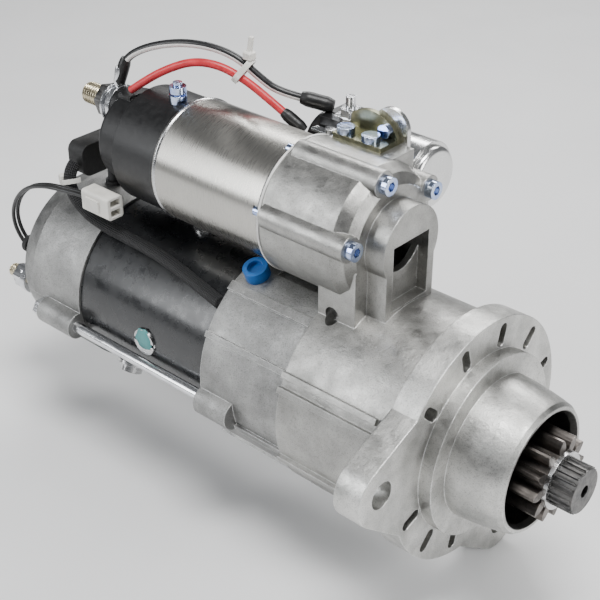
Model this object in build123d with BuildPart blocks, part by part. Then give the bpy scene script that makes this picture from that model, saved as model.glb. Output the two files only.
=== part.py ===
"""Heavy-duty gear-reduction starter motor: solenoid on top, planetary reduction,
overrunning clutch and an overhung pinion that slides out of an open nose.
Frame: +X along the motor axis towards the pinion, +Z up through the solenoid,
origin at the centre of the mounting flange's front face. Millimetres."""
import os
from math import acos, cos, pi, radians, sin, tan

from build123d import *

os.makedirs("parts", exist_ok=True)

# ---- driving dimensions -------------------------------------------------------------
FLANGE_R, FLANGE_T = 62.0, 14.0          # mounting flange disc
PILOT_R, PILOT_LEN = 46.0, 7.0           # locating spigot in front of the flange
EAR_PCR, EAR_R, EAR_HOLE_R = 73.0, 15.5, 6.75
EAR_ANGLES = (171.5, 291.5)              # two mounting ears, seen from the front
NOSE_TIP_X, NOSE_TIP_R, NOSE_MOUTH_R, NOSE_BASE_R = 35.0, 32.6, 29.3, 36.0
BARREL_R, BARREL_BORE = 56.0, 49.0       # drive housing behind the flange
JOINT_X = -77.0                          # joint between drive and gear housings
GEARBOX_REAR_X, GEARBOX_R, GEARBOX_BORE = -130.0, 54.0, 43.5
FRAME_REAR_X, FRAME_R, FRAME_BORE = -228.8, 48.1, 43.6
CAP_REAR_X, CAP_R = -286.0, 49.5
BOLT_PCR, BOLT_R, BOLT_ANGLES = 53.1, 3.0, (192.4, 12.4)

SOL_Z, SOL_R, SOL_BORE = 86.2, 32.0, 29.5   # solenoid axis height and can radii
SOL_FRONT_X, SOL_REAR_X = -108.0, -182.0
TOWER_R, TOWER_BORE, TOWER_FRONT_X = 34.0, 28.0, -55.0
NECK_HALF, NECK_FRONT_X, NECK_R = 17.5, -44.0, 20.0
STUD_OFFSET, STUD_R = 14.0, 6.0          # main terminals above and below the axis
SOL_SCREW_ANGLES = (168, 104, 30)        # solenoid screws round the tower's front
BRACKET_SCREWS_X = (-98, -83)

MODULE, SUN_TEETH, PLANET_TEETH, RING_TEETH = 1.75, 12, 15, 42
PLANETS = 3
PINION_MODULE, PINION_TEETH, PINION_X0, PINION_X1 = 3.0, 12, 19.0, 44.0
PRESSURE = radians(25)
FLANK_PLAY = 0.1                         # taken off each flank

PIVOT_X, PIVOT_Z, LEVER_TOP, LEVER_FOOT = -68.5, 51.5, 35.17, 52.2
LEVER_TILT = radians(9.35)
COLLAR_X = PIVOT_X - LEVER_FOOT * sin(LEVER_TILT)
TONGUE_X = PIVOT_X + LEVER_TOP * sin(LEVER_TILT)

RELAY_Y, RELAY_Z, RELAY_R, RELAY_BASE_R = 46.5, 96.0, 15.5, 15.0
PLUG_X, PLUG_ANGLE = -121.0, 112         # plug in the top of the gear housing
GROMMET_AT = (-35.0, 12.0)               # thermostat lead outlet in the rear cap
LEAD_X, LEAD_Y = -252.0, 2.0             # motor lead into the rear cap
RUN = 0.05                               # radial clearance of a running fit
AXIS, SOL_AXIS, RELAY_AXIS = (0.0, 0.0), (0.0, SOL_Z), (RELAY_Y, RELAY_Z)


# ---- helpers ------------------------------------------------------------------------
def keep(builder, name):
    """Label a finished piece and write it as its own STEP file."""
    builder.part.label = name
    export_step(builder.part, f"parts/{name}.step")


def bar(x0, x1, r, at=AXIS, mode=Mode.ADD):
    """Round bar along X between two stations."""
    with Locations(Location(((x0 + x1) / 2, at[0], at[1]), (0, 90, 0))):
        Cylinder(r, x1 - x0, mode=mode)


def tube(x0, x1, r_out, r_in, at=AXIS):
    """Round tube along X."""
    bar(x0, x1, r_out, at)
    bar(x0 - 0.01, x1 + 0.01, r_in, at, Mode.SUBTRACT)


def block(x, y, z, mode=Mode.ADD):
    """Box given by its low and high value on each axis."""
    with Locations(((x[0] + x[1]) / 2, (y[0] + y[1]) / 2, (z[0] + z[1]) / 2)):
        Box(x[1] - x[0], y[1] - y[0], z[1] - z[0], mode=mode)


def hexagon(x0, x1, r, at=AXIS, mode=Mode.ADD):
    """Hexagonal prism along X, r to its corners."""
    with BuildSketch(Plane.YZ.offset(x0)) as outline:
        with Locations(at):
            RegularPolygon(r, 6)
    extrude(outline.sketch, x1 - x0, mode=mode)


def polar(angle, r, centre=AXIS):
    """Point in the YZ plane at an angle in degrees about an X axis."""
    return (centre[0] + r * cos(radians(angle)), centre[1] + r * sin(radians(angle)))


def turned(*points):
    """Closed (x, r) profile for a revolve about the motor axis."""
    with BuildSketch(Plane.XZ) as profile:
        with BuildLine():
            Polyline(*points, close=True)
        make_face()
    return profile.sketch


def involute(angle):
    return tan(angle) - angle


def gear_points(teeth, module, r_root, r_tip, widen):
    """Outline of an involute gear with a tooth centred on angle 0."""
    r_pitch = teeth * module / 2
    r_base = r_pitch * cos(PRESSURE)
    half_pitch = pi / (2 * teeth) + widen / r_pitch + involute(PRESSURE)
    r_start = max(r_root, r_base)
    radii = [r_start + (r_tip - r_start) * i / 3 for i in range(4)]
    flank = [(r, half_pitch - involute(acos(r_base / r))) for r in radii]
    if r_root < r_base - 0.01:
        flank.insert(0, (r_root, half_pitch))
    points = []
    for tooth in range(teeth):
        middle = 2 * pi * tooth / teeth
        points += [(r * cos(middle - a), r * sin(middle - a)) for r, a in flank]
        points += [(r * cos(middle + a), r * sin(middle + a)) for r, a in reversed(flank)]
    return points


def gear_face(x0, at, *gear):
    """Gear outline as a face at a station along X."""
    with BuildSketch(Plane((x0, *at), x_dir=(0, 1, 0), z_dir=(1, 0, 0))) as face:
        with BuildLine():
            Polyline(*gear_points(*gear), close=True)
        make_face()
    return face.sketch


def splined(x0, x1, r_root, r_tip, width, count=10, mode=Mode.ADD):
    """Straight-sided splines along X round the motor axis."""
    with BuildSketch(Plane.YZ.offset(x0)) as outline:
        Circle(r_root)
        with PolarLocations(0, count):
            with Locations((r_tip / 2, 0)):
                Rectangle(r_tip, width)
    extrude(outline.sketch, x1 - x0, mode=mode)


def sector(x0, x1, r_in, r_out, centre, half, mode=Mode.ADD, at=AXIS):
    """Ring sector along X about the point at, centred on an angle in degrees."""
    with BuildSketch(Plane((x0, *at), x_dir=(0, 1, 0), z_dir=(1, 0, 0))) as outline:
        Circle(r_out)
        Circle(r_in, mode=Mode.SUBTRACT)
        reach = 2 * r_out
        corner = [polar(centre + s * half, reach) for s in (-1, 1)]
        far = [polar(centre + s * half / 2, reach) for s in (-1, 1)]
        with BuildLine():
            Polyline((0, 0), corner[0], far[0], far[1], corner[1], close=True)
        make_face(mode=Mode.INTERSECT)
    extrude(outline.sketch, x1 - x0, mode=mode)


def rod(start, end, r, mode=Mode.ADD):
    """Round bar between two points in space."""
    way = Vector(*end) - Vector(*start)
    with Locations(Plane(origin=Vector(*start) + way / 2, z_dir=way)):
        Cylinder(r, way.length, mode=mode)


def radial(x, angle, r0, r1, r, mode=Mode.ADD):
    """Round bar pointing out from the motor axis."""
    rod((x, *polar(angle, r0)), (x, *polar(angle, r1)), r, mode)


def bend_radii(points):
    """Largest even bends of a route: 0.45 of the shorter run over tan(half turn)."""
    radii = []
    for a, b, c in zip(points, points[1:], points[2:]):
        u, v = Vector(*b) - Vector(*a), Vector(*c) - Vector(*b)
        half_turn = radians(u.get_angle(v)) / 2
        radii.append(0.45 * min(u.length, v.length) / tan(half_turn))
    return radii


def cord(name, points, r):
    """Round cord of straight runs joined by tangent bends."""
    radii = bend_radii(points)
    with BuildPart() as lead:
        with BuildLine() as path:
            FilletPolyline(*points, radius=radii)
        route = path.wire()
        with BuildSketch(Plane(origin=route @ 0, z_dir=route % 0)):
            Circle(r)
        sweep(path=route)
    length = route.length
    ratio = lead.part.volume / (pi * r * r * length)
    bends = " ".join(f"{value:.0f}" for value in radii)
    print(f"{name}: length {length:.1f}, volume ratio {ratio:.4f}, bends {bends}")
    return lead


# ---- drive housing: flange, nose, barrel, solenoid tower and lever neck ---------------
with BuildPart() as drive_housing:
    with BuildSketch(Plane.XZ):
        with BuildLine():
            Polyline((PILOT_LEN, NOSE_BASE_R), (PILOT_LEN, PILOT_R), (0, PILOT_R), (0, FLANGE_R),
                     (-FLANGE_T, FLANGE_R), (-FLANGE_T, BARREL_R), (JOINT_X, BARREL_R),
                     (JOINT_X, BARREL_BORE), (-18, BARREL_BORE), (-4, 38), (-4, 24),
                     (-10, 24), (-10, 18.5), (12, 18.5), (12, 28), (32, 28),
                     (NOSE_TIP_X, NOSE_MOUTH_R), (NOSE_TIP_X, NOSE_TIP_R - 1.5),
                     (NOSE_TIP_X - 2, NOSE_TIP_R))
            ThreePointArc((NOSE_TIP_X - 2, NOSE_TIP_R), (20, 34.9), (PILOT_LEN, NOSE_BASE_R))
        make_face()
    revolve(axis=Axis.X)
    for angle in EAR_ANGLES:
        with BuildSketch(Plane.YZ.offset(-FLANGE_T)):
            Circle(FLANGE_R - 8)
            with Locations(polar(angle, EAR_PCR)):
                Circle(EAR_R)
            make_hull()
        extrude(amount=FLANGE_T)
    # clear the ears out of the bores again
    revolve(turned((-40, 0), (-40, BARREL_BORE), (-18, BARREL_BORE), (-4, 38), (-4, 24),
                   (-10, 24), (-10, 18.5), (1, 18.5), (1, 0)),
            axis=Axis.X, mode=Mode.SUBTRACT)
    # solenoid tower and the pedestal that joins it to the barrel
    with BuildSketch(Plane.XZ) as tower:
        Polygon((SOL_FRONT_X, SOL_Z), (SOL_FRONT_X, SOL_Z + TOWER_R),
                (TOWER_FRONT_X - 9, SOL_Z + TOWER_R), (TOWER_FRONT_X - 3, SOL_Z + TOWER_R - 3),
                (TOWER_FRONT_X, SOL_Z + TOWER_R - 8), (TOWER_FRONT_X, SOL_Z), align=None)
    revolve(tower.sketch, axis=Axis((0, 0, SOL_Z), (1, 0, 0)))
    for angle in SOL_SCREW_ANGLES:
        bar(SOL_FRONT_X + 3, TOWER_FRONT_X, 6.4, polar(angle, 31, SOL_AXIS))
    block((JOINT_X, TOWER_FRONT_X), (-26, 26), (46, SOL_Z - 8))
    # lever neck with a round top
    block((JOINT_X, NECK_FRONT_X), (-NECK_HALF, NECK_HALF), (40, SOL_Z))
    bar(TOWER_FRONT_X - 1, NECK_FRONT_X, NECK_R, SOL_AXIS)
    # pad for the relay bracket on the far shoulder
    block((-104, -66), (8, 28), (98, 118))
    # hollow inside: plunger bore, lever slot and neck recess
    bar(SOL_FRONT_X, -59, TOWER_BORE, SOL_AXIS, Mode.SUBTRACT)
    bar(-60, -48, 14.5, SOL_AXIS, Mode.SUBTRACT)
    block((JOINT_X - 1, -53.5), (-12.5, 12.5), (20, SOL_Z), Mode.SUBTRACT)
    block((-92, JOINT_X), (-12.5, 12.5), (56, SOL_Z), Mode.SUBTRACT)
    bar(JOINT_X, -18, BARREL_BORE, mode=Mode.SUBTRACT)
    block((-50, NECK_FRONT_X + 1), (-13, 13), (57, 90), Mode.SUBTRACT)
    # saddle that clears the relay can
    bar(-109, -54, RELAY_R + 0.5, RELAY_AXIS, Mode.SUBTRACT)
    block((-91, -69), (28, 40), (101, 112), Mode.SUBTRACT)
    # parallel ribs along the barrel
    for angle, x0, x1 in ((152, JOINT_X, -21), (159.5, JOINT_X, -21), (200, JOINT_X, -25),
                          (240, JOINT_X, -25)):
        sector(x0, x1, BARREL_R - 2, BARREL_R + 2.5, angle, 1.6)
    # radial pockets, bolt holes and lever pin hole
    for angle in (199, 226.5, 254, 316.5, 346.5, 16.5, 46.5, 76.5, 106.5, 138):
        y, z = polar(angle, 53)
        with BuildSketch(Plane((-9, y, z), x_dir=(0, y, z), z_dir=(1, 0, 0))) as pocket:
            SlotOverall(12, 5.6)
        extrude(pocket.sketch, amount=10, mode=Mode.SUBTRACT)
    for angle in EAR_ANGLES:
        bar(-FLANGE_T - 1, 1, EAR_HOLE_R, polar(angle, EAR_PCR), Mode.SUBTRACT)
    with Locations(Location((PIVOT_X, 0, PIVOT_Z), (90, 0, 0))):
        Cylinder(4.0, 60, mode=Mode.SUBTRACT)
    for angle in SOL_SCREW_ANGLES:
        bar(-109, -54, 2.4, polar(angle, 31, SOL_AXIS), Mode.SUBTRACT)
    for x in BRACKET_SCREWS_X:
        rod((x, 17, 114.4), (x, 17, 119), 2.15, Mode.SUBTRACT)
keep(drive_housing, "drive_housing")

# ---- gear housing: ring gear, partition and clutch bracket sit in it ------------------
with BuildPart() as gear_housing:
    bar(GEARBOX_REAR_X, JOINT_X, GEARBOX_R)
    for angle, width in ((124, 2.6), (152, 1.6), (200, 2.0), (225, 2.0), (60, 2.6)):
        sector(GEARBOX_REAR_X, JOINT_X, GEARBOX_R - 2, GEARBOX_R + 1.6, angle, width)
    for angle in BOLT_ANGLES:
        bar(GEARBOX_REAR_X, -108, 8.0, polar(angle, BOLT_PCR))
    # flat on top under the solenoid
    block((SOL_FRONT_X - 4, JOINT_X + 1), (-30, 30), (51.6, 70), Mode.SUBTRACT)
    bar(GEARBOX_REAR_X - 1, -92, GEARBOX_BORE, mode=Mode.SUBTRACT)
    bar(-92, JOINT_X + 1, 47.0, mode=Mode.SUBTRACT)
    for angle in BOLT_ANGLES:
        bar(GEARBOX_REAR_X - 1, -112, BOLT_R, polar(angle, BOLT_PCR), Mode.SUBTRACT)
    radial(PLUG_X, PLUG_ANGLE, 50.5, 62, 6.4, Mode.SUBTRACT)
keep(gear_housing, "gear_housing")

with BuildPart() as partition_plate:
    tube(-123, -118, GEARBOX_BORE, 9.6)
    tube(-126, -123, 16, 9.6)
keep(partition_plate, "partition_plate")

with BuildPart() as center_bracket:
    tube(-91.5, -86.5, 46.9, 17)
    tube(-91.5, -88, 21, 17)
keep(center_bracket, "center_bracket")

with BuildPart() as blue_plug:
    radial(PLUG_X, PLUG_ANGLE, 50.5, 60, 6.4)
    radial(PLUG_X, PLUG_ANGLE, 58, 61, 4.0, Mode.SUBTRACT)
keep(blue_plug, "blue_plug")

# ---- electric motor: frame, poles, coils ----------------------------------------------
POLE_X = -177.0
POLE_ANGLES = (0, 90, 180, 270)
COIL_SCREW_X, COIL_SCREW_ANGLE = -219.0, 243
with BuildPart() as field_frame:
    tube(FRAME_REAR_X, GEARBOX_REAR_X, FRAME_R, FRAME_BORE)
    for angle in POLE_ANGLES:
        radial(POLE_X, angle, 40, 52, 3.0, Mode.SUBTRACT)
        radial(POLE_X, angle, 46.2, 52, 7.5, Mode.SUBTRACT)
    radial(COIL_SCREW_X, COIL_SCREW_ANGLE, 40, 52, 3.0, Mode.SUBTRACT)
keep(field_frame, "field_frame")

with BuildPart() as pole_shoes:
    for angle in POLE_ANGLES:
        sector(-209, -145, 28.8, FRAME_BORE - 0.05, angle, 27)
        radial(POLE_X, angle, 32, 50, 3.0, Mode.SUBTRACT)
keep(pole_shoes, "pole_shoes")

with BuildPart() as field_coils:
    for angle in POLE_ANGLES:
        sector(-217, -137, 31.5, FRAME_BORE - 0.6, angle, 41)
        sector(-209.5, -144.5, 20, 60, angle, 28, Mode.SUBTRACT)
keep(field_coils, "field_coils")

with BuildPart() as pole_screws:
    for angle in POLE_ANGLES:
        radial(POLE_X, angle, 33, 46.3, 3.0)
        radial(POLE_X, angle, 46.2, 49.2, 7.4)
        y, z = polar(angle, 49)
        with Locations(Location((POLE_X, y, z), (angle, 0, 0))):
            Box(16, 1.8, 1.8, mode=Mode.SUBTRACT)
    # larger screw that earths one coil, low on the rear of the frame
    radial(COIL_SCREW_X, COIL_SCREW_ANGLE, 44.2, 49, 3.0)
    radial(COIL_SCREW_X, COIL_SCREW_ANGLE, 48.9, 50.9, 9.0)
    radial(COIL_SCREW_X, COIL_SCREW_ANGLE, 50.8, 55.2, 6.4)
keep(pole_screws, "pole_screws")

with BuildPart() as armature_shaft:
    with BuildSketch(Plane.XZ):
        with BuildLine():
            Polyline((-276, 0), (-276, 7), (-262, 7), (-262, 9), (-117, 9), (-117, 8.5),
                     (-98.6, 8.5), (-98.6, 5), (-89, 5), (-89, 0), close=True)
        make_face()
    revolve(axis=Axis.X)
    sun_pitch = MODULE * SUN_TEETH / 2
    extrude(gear_face(-117, AXIS, SUN_TEETH, MODULE, sun_pitch - 1.1 * MODULE,
                      sun_pitch + 0.8 * MODULE, -FLANK_PLAY), 18.4)
keep(armature_shaft, "armature_shaft")

with BuildPart() as armature_core:
    tube(-212, -142, 28.0, 9.0)
    with BuildSketch(Plane.YZ.offset(-212)):
        with PolarLocations(26.2, 20):
            Rectangle(5, 2.2)
    extrude(amount=70, mode=Mode.SUBTRACT)
keep(armature_core, "armature_core")

with BuildPart() as armature_winding:
    with BuildSketch(Plane.YZ.offset(-212)):
        with PolarLocations(25.6, 20):
            Rectangle(3.6, 2.1)
    extrude(amount=70)
    for profile in (((-142, 10), (-142, 27.4), (-136, 27.4), (-128, 17), (-128, 10)),
                    ((-212, 10), (-212, 27.4), (-218, 27.4), (-226, 20), (-226, 10))):
        revolve(turned(*profile), Axis.X)
keep(armature_winding, "armature_winding")

with BuildPart() as commutator:
    tube(-256, -226, 19.0, 9.0)
    tube(-230, -226, 20.8, 9.0)
keep(commutator, "commutator")

with BuildPart() as rear_end_cap:
    with BuildSketch(Plane.XZ):
        with BuildLine():
            Polyline((FRAME_REAR_X, 45), (FRAME_REAR_X, CAP_R), (-268, CAP_R),
                     (-279, 46.5), (CAP_REAR_X, 38), (CAP_REAR_X, 0), (-281, 0),
                     (-281, 10), (-266, 10), (-266, 14), (-281, 14), (-281, 38),
                     (-276, 42.5), (-266, 45), close=True)
        make_face()
    revolve(axis=Axis.X)
    for angle in BOLT_ANGLES:
        bar(-256, FRAME_REAR_X, 7.5, polar(angle, BOLT_PCR - 1))
    # pillars that the brush holder is screwed to
    for angle in (45, 225):
        bar(-281.5, -262, 4.5, polar(angle, 33))
    bar(-262, FRAME_REAR_X + 1, 45, mode=Mode.SUBTRACT)
    for angle in BOLT_ANGLES:
        bar(-257, FRAME_REAR_X + 1, BOLT_R, polar(angle, BOLT_PCR), Mode.SUBTRACT)
        bar(CAP_REAR_X, -256, 6.2, polar(angle, BOLT_PCR), Mode.SUBTRACT)
    for angle in (45, 225):
        bar(CAP_REAR_X - 1, -261, 2.0, polar(angle, 33), Mode.SUBTRACT)
    bar(CAP_REAR_X - 1, -280, 4.0, (-36, -11), Mode.SUBTRACT)
    bar(CAP_REAR_X - 1, -280, 3.5, GROMMET_AT, Mode.SUBTRACT)
    rod((LEAD_X, LEAD_Y, 30), (LEAD_X, LEAD_Y, 60), 5.5, Mode.SUBTRACT)
keep(rear_end_cap, "rear_end_cap")

with BuildPart() as through_bolts:
    for angle in BOLT_ANGLES:
        bar(-256, -114, BOLT_R, polar(angle, BOLT_PCR))
        hexagon(-261, -256, 5.6, polar(angle, BOLT_PCR))
keep(through_bolts, "through_bolts")

with BuildPart() as ground_terminal:
    bar(-306, -281.5, 4.0, (-36, -11))
    hexagon(-298, -290.5, 7.5, (-36, -11))
    bar(-290.5, CAP_REAR_X, 8.0, (-36, -11))
keep(ground_terminal, "ground_terminal")

BRUSH_ANGLES = (0, 90, 180, 270)
with BuildPart() as brush_holder:
    tube(-262, -259.5, 44.5, 22)
    for angle in (45, 225):
        bar(-263, -259, 2.0, polar(angle, 33), Mode.SUBTRACT)
    for angle in BRUSH_ANGLES:
        y, z = polar(angle, 30)
        with Locations(Location((-247, y, z), (angle, 0, 0))):
            Box(25, 18, 13)
            Box(26, 19, 9.2, mode=Mode.SUBTRACT)
keep(brush_holder, "brush_holder")

with BuildPart() as brushes:
    for angle in BRUSH_ANGLES:
        y, z = polar(angle, 28)
        with Locations(Location((-246, y, z), (angle, 0, 0))):
            Box(22, 16, 9)
    bar(-260, -230, 19.15, mode=Mode.SUBTRACT)
keep(brushes, "brushes")

with BuildPart() as brush_springs:
    for angle in BRUSH_ANGLES:
        y, z = polar(angle, 40.4)
        with Locations(Location((-246, y, z), (angle, 0, 0))):
            Cylinder(3.3, 8)
            Cylinder(2.2, 9, mode=Mode.SUBTRACT)
        y, z = polar(angle, 36.8)
        with Locations(Location((-246, y, z), (angle, 0, 0))):
            Box(12, 0.8, 4)
keep(brush_springs, "brush_springs")

# ---- planetary reduction --------------------------------------------------------------
CENTRES = MODULE * (SUN_TEETH + PLANET_TEETH) / 2
with BuildPart() as ring_gear:
    bar(-117.5, -98.4, GEARBOX_BORE)
    ring_pitch = MODULE * RING_TEETH / 2
    extrude(gear_face(-117.5, AXIS, RING_TEETH, MODULE, ring_pitch - 0.8 * MODULE,
                      ring_pitch + 1.1 * MODULE, FLANK_PLAY), 19.1, mode=Mode.SUBTRACT)
keep(ring_gear, "ring_gear")

planet_pitch = MODULE * PLANET_TEETH / 2
for index in range(PLANETS):
    centre = polar(360 * index / PLANETS, CENTRES)
    with BuildPart() as planet:
        extrude(gear_face(-115, centre, PLANET_TEETH, MODULE, planet_pitch - 1.1 * MODULE,
                          planet_pitch + 0.8 * MODULE, -FLANK_PLAY), 16.2)
        bar(-116, -98, 4 + RUN, centre, Mode.SUBTRACT)
    keep(planet, f"planet_gear_{index + 1}")

with BuildPart() as output_shaft:
    with BuildSketch(Plane.XZ):
        with BuildLine():
            Polyline((-97.6, 5 + RUN), (-97.6, 33), (-92.6, 33), (-92.6, 14), (-85, 14),
                     (-85, 9), (5, 9), (5, 0), (-87, 0), (-87, 5 + RUN), close=True)
        make_face()
    revolve(axis=Axis.X)
    splined(-85, -60.5, 9.0, 11.0, 3.0)
    bar(-98, -87, 5 + RUN, mode=Mode.SUBTRACT)
    # planet pins pressed into the carrier disc
    for index in range(PLANETS):
        bar(-116.5, -92, 4.0, polar(360 * index / PLANETS, CENTRES))
keep(output_shaft, "output_shaft")

with BuildPart() as shaft_bushes:
    tube(-279, -266, 10, 7 + RUN)
    front_bush_x = (-91.5, -86.5)
    bar(*front_bush_x, 17)
    bar(*front_bush_x, 14 + RUN, mode=Mode.SUBTRACT)
keep(shaft_bushes, "shaft_bushes")

# ---- sliding drive: collar, overrunning clutch, sleeve and pinion ---------------------
with BuildPart() as clutch_shell:
    groove = (COLLAR_X - 4.1, COLLAR_X + 4.1)
    with BuildSketch(Plane.XZ):
        with BuildLine():
            Polyline((groove[0] - 3.2, 0), (groove[0] - 3.2, 22.5), (groove[0], 22.5),
                     (groove[0], 15.5), (groove[1], 15.5), (groove[1], 22.5),
                     (groove[1] + 3.2, 22.5), (groove[1] + 3.2, 18), (-66, 18),
                     (-64, 34), (-62, 36), (-31, 36), (-31, 32.3), (-60, 32.3),
                     (-60, 0), close=True)
        make_face()
    revolve(axis=Axis.X)
    splined(-86, -59, 9.75, 11.15, 3.3, mode=Mode.SUBTRACT)
    # crimped front cover
    tube(-31, -28.5, 36, 14.2)
keep(clutch_shell, "clutch_shell")

ROLLERS, ROLLER_R, RACE_R = 8, 6.0, 20.0
with BuildPart() as clutch_rollers:
    for index in range(ROLLERS):
        bar(-58, -35, ROLLER_R, polar(360 * index / ROLLERS, RACE_R + ROLLER_R + 0.15))
keep(clutch_rollers, "clutch_rollers")

with BuildPart() as pinion_sleeve:
    with BuildSketch(Plane.XZ):
        with BuildLine():
            Polyline((-59, 9 + RUN), (-59, RACE_R), (-34, RACE_R), (-32, 13.5), (19, 13.5),
                     (19, 11.7), (46, 11.7), (46, 10.9), (57, 10.9), (57, 3), (50, 3),
                     (50, 0), (10, 0), (10, 9 + RUN), close=True)
        make_face()
    revolve(axis=Axis.X)
    with BuildSketch(Plane.YZ.offset(46)):
        with PolarLocations(11.0, 24):
            Trapezoid(1.6, 1.4, 70, rotation=-90)
    extrude(amount=10.2)
    bar(50, 58, 3, mode=Mode.SUBTRACT)
keep(pinion_sleeve, "pinion_sleeve")

with BuildPart() as pinion_gear:
    pinion_pitch = PINION_MODULE * PINION_TEETH / 2
    extrude(gear_face(PINION_X0, AXIS, PINION_TEETH, PINION_MODULE, pinion_pitch - 3.6,
                      pinion_pitch + 2.9, -FLANK_PLAY), PINION_X1 - PINION_X0)
    bar(PINION_X0 - 1, PINION_X1 + 1, 11.7, mode=Mode.SUBTRACT)
keep(pinion_gear, "pinion_gear")

with BuildPart() as pinion_stop_ring:
    tube(PINION_X1, PINION_X1 + 2, 14.2, 11.7)
keep(pinion_stop_ring, "pinion_stop_ring")

with BuildPart() as nose_bearing:
    tube(-10, 7, 18.5, 13.5 + RUN)
keep(nose_bearing, "nose_bearing")

with BuildPart() as nose_seal:
    tube(7, 12, 18.5, 13.8)
keep(nose_seal, "nose_seal")

# ---- shift lever ----------------------------------------------------------------------
tilted = Plane(origin=(PIVOT_X, 0, PIVOT_Z), x_dir=(0, 1, 0),
               z_dir=(cos(LEVER_TILT), 0, -sin(LEVER_TILT)))
LEG_IN, LEG_OUT = 23.6, 28.6
with BuildPart() as shift_lever:
    with BuildSketch(tilted):
        with Locations((0, (LEVER_TOP - 9) / 2)):
            Rectangle(10, LEVER_TOP - 9)
        with Locations((0, LEVER_TOP - 6)):
            Rectangle(6, 12)
        with Locations((0, -10)):
            Rectangle(14, 20)
        with BuildLine():
            Polyline((-7, -12), (-LEG_OUT, -24), (-LEG_OUT, -LEVER_FOOT),
                     (-LEG_IN, -LEVER_FOOT), (-LEG_IN, -28), (0, -24), (LEG_IN, -28),
                     (LEG_IN, -LEVER_FOOT), (LEG_OUT, -LEVER_FOOT), (LEG_OUT, -24),
                     (7, -12), close=True)
        make_face()
    extrude(amount=2.9, both=True)
    with Locations(Location((PIVOT_X, 0, PIVOT_Z), (90, 0, 0))):
        Cylinder(8, 22)
        Cylinder(4 + RUN, 60, mode=Mode.SUBTRACT)
    with Locations(Location((TONGUE_X, 0, SOL_Z), (90, 0, 0))):
        Cylinder(4.4, 6)
    for side in (-1, 1):
        with Locations(Location((COLLAR_X, side * (LEG_IN + LEG_OUT) / 2, 0), (90, 0, 0))):
            Cylinder(6, LEG_OUT - LEG_IN)
        with Locations(Location((COLLAR_X, side * (16 + LEG_IN) / 2, 0), (90, 0, 0))):
            Cylinder(3.6, LEG_IN - 16)
keep(shift_lever, "shift_lever")

with BuildPart() as lever_pin:
    with Locations(Location((PIVOT_X, 0, PIVOT_Z), (90, 0, 0))):
        Cylinder(4.0, 44)
keep(lever_pin, "lever_pin")

# ---- solenoid ---------------------------------------------------------------------------
with BuildPart() as solenoid_can:
    tube(SOL_REAR_X, SOL_FRONT_X, SOL_R, SOL_BORE, SOL_AXIS)
    tube(-112, SOL_FRONT_X, SOL_BORE, 14.4, SOL_AXIS)
    for angle in SOL_SCREW_ANGLES:
        bar(-113, SOL_FRONT_X + 1, 2.4, polar(angle, 31, SOL_AXIS), Mode.SUBTRACT)
keep(solenoid_can, "solenoid_can")

with BuildPart() as solenoid_gasket:
    tube(SOL_FRONT_X, SOL_FRONT_X + 1.2, TOWER_R + 0.4, TOWER_R, SOL_AXIS)
    bar(-109, -54, RELAY_R + 0.5, RELAY_AXIS, Mode.SUBTRACT)
keep(solenoid_gasket, "solenoid_gasket")

with BuildPart() as solenoid_coil:
    tube(-176, -112.5, 29.0, 14.5, SOL_AXIS)
keep(solenoid_coil, "solenoid_coil")

with BuildPart() as solenoid_core:
    bar(-180, -153, 14.0, SOL_AXIS)
    bar(-181, -176.5, SOL_BORE, SOL_AXIS)
    bar(-182, -152, 4.2, SOL_AXIS, Mode.SUBTRACT)
keep(solenoid_core, "solenoid_core")

with BuildPart() as plunger:
    bar(-140.5, -84, 13.9, SOL_AXIS)
    bar(-88, -84, 19, SOL_AXIS)
    bar(-84, -57.4, 9.0, SOL_AXIS)
    block((TONGUE_X - 4.8, TONGUE_X + 4.8), (-3.6, 3.6), (SOL_Z - 12, SOL_Z + 12),
          Mode.SUBTRACT)
keep(plunger, "plunger")

with BuildPart() as return_spring:
    with BuildLine() as coil_path:
        Helix(pitch=4.2, height=16.8, radius=16.4, center=(SOL_FRONT_X + 1.4, 0, SOL_Z),
              direction=(1, 0, 0))
    helix = coil_path.edge()
    with BuildSketch(Plane(origin=helix @ 0, z_dir=helix % 0)):
        Circle(1.0)
    sweep(path=helix, is_frenet=True)
keep(return_spring, "return_spring")

with BuildPart() as contact_rod:
    bar(-198.5, -140.5, 3.6, SOL_AXIS)
    bar(-196, -193.5, 21, SOL_AXIS)
keep(contact_rod, "contact_rod")

STUDS = ((0, SOL_Z + STUD_OFFSET), (0, SOL_Z - STUD_OFFSET))
CAP_BACK = -232.0
STUD_FREE, STUD_END_R = 14.0, 5.75       # threaded free end, turned under the shank
with BuildPart() as solenoid_cap:
    bar(-213, SOL_REAR_X, 31.0, SOL_AXIS)
    bar(CAP_BACK, -212, 25.0, SOL_AXIS)
    fillet(solenoid_cap.edges().filter_by(GeomType.CIRCLE).sort_by(Axis.X)[0], 3)
    bar(SOL_REAR_X - 1.8, SOL_REAR_X, 31.9, SOL_AXIS)
    for stud in STUDS:
        bar(-237, CAP_BACK + 1, 10.5, stud)
    block((-230.5, -221.5), (-9, -1), (SOL_Z + 15, SOL_Z + 25.4))
    bar(-210, SOL_REAR_X + 1, 26.5, SOL_AXIS, Mode.SUBTRACT)
    for stud in STUDS:
        bar(-238, -209, STUD_R, stud, Mode.SUBTRACT)
keep(solenoid_cap, "solenoid_cap")

with BuildPart() as terminal_studs:
    for stud, end in zip(STUDS, (-266, -256)):
        bar(end + STUD_FREE, -208, STUD_R, stud)
        bar(end, end + STUD_FREE, STUD_END_R, stud)
        bar(-210, -208, 9.5, stud)
keep(terminal_studs, "terminal_studs")

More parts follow.
